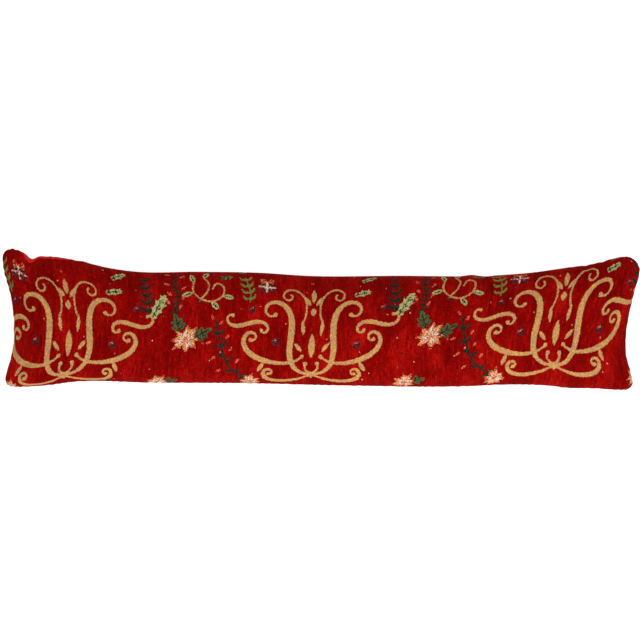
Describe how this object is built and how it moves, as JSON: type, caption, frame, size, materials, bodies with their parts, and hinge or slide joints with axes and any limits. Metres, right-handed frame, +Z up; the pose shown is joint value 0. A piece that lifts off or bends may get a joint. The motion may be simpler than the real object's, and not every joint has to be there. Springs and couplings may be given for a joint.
{
  "type": "draught excluder",
  "caption": "Long filled fabric cushion with a patterned face, a plain back and four flat corner ears, laid along the foot of a door or window to stop draughts.",
  "frame": {"origin": "on the floor, under the centre of the bounding box", "axes": "+X along the length, +Y towards the long seam that is drawn in more, +Z up out of the patterned face"},
  "size_m": [0.9002, 0.198, 0.0831],
  "materials": {
    "cover_cloth": "woven chenille, deep red ground with gold, green and cream threads, matt"
  },
  "bodies": {
    "root": {"filled_cover": "cover_cloth"}
  },
  "joints": []
}
